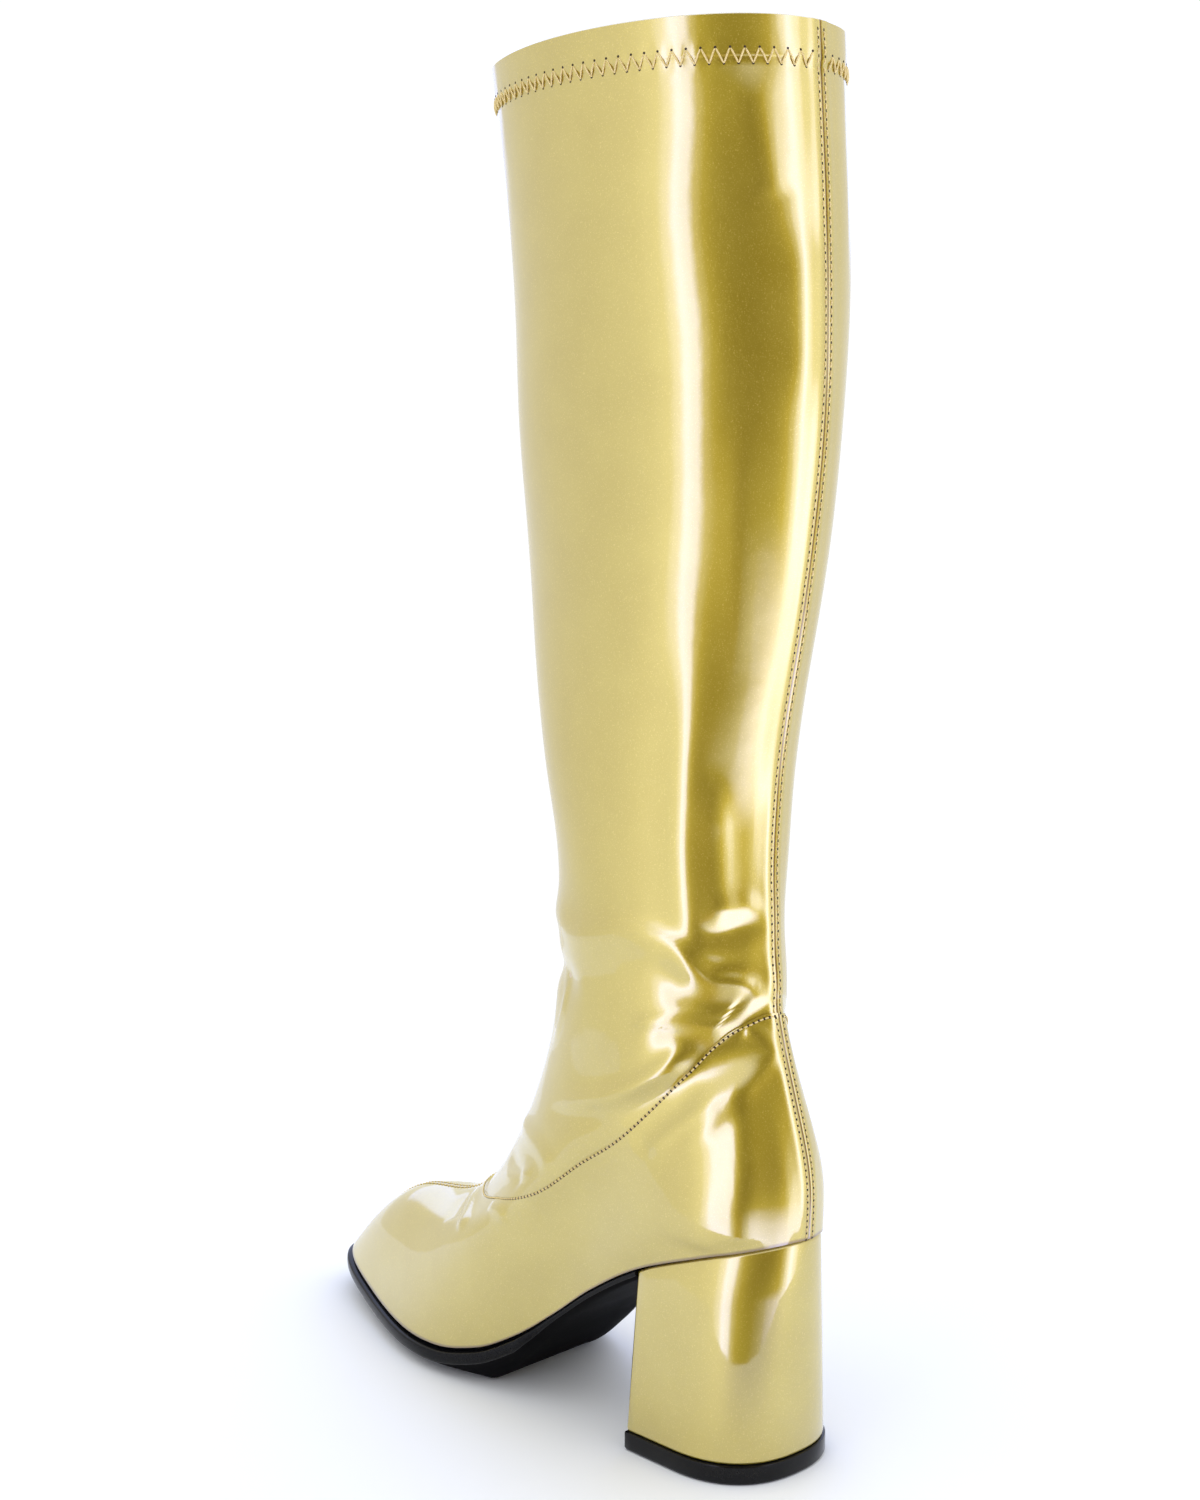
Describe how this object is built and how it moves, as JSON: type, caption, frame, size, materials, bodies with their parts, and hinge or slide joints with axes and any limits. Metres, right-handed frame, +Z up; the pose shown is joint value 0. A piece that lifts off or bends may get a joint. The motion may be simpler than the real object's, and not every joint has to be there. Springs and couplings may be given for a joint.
{
  "type": "go go boot",
  "caption": "Left knee-length stretch patent boot, hollow shaft and foot on a block heel with a black sole, standing on its heel and forefoot.",
  "frame": {"origin": "middle of the heel's ground face, on the floor", "axes": "+X to the inner side of the left foot, +Y to the toe, +Z up the shaft"},
  "size_m": [0.0942, 0.2572, 0.4661],
  "materials": {
    "gold_patent": "stretch patent, pearl gold under clear gloss",
    "gold_heel_cover": "same patent pulled tight over the heel",
    "black_sole": "smooth gloss edge",
    "black_lift": "smooth gloss",
    "insole_cloth": "plain matte"
  },
  "bodies": {
    "root": {"upper": "gold_patent", "insole": "insole_cloth", "outsole": "black_sole", "heel_block": "gold_heel_cover", "top_lift": "black_lift"}
  },
  "joints": []
}
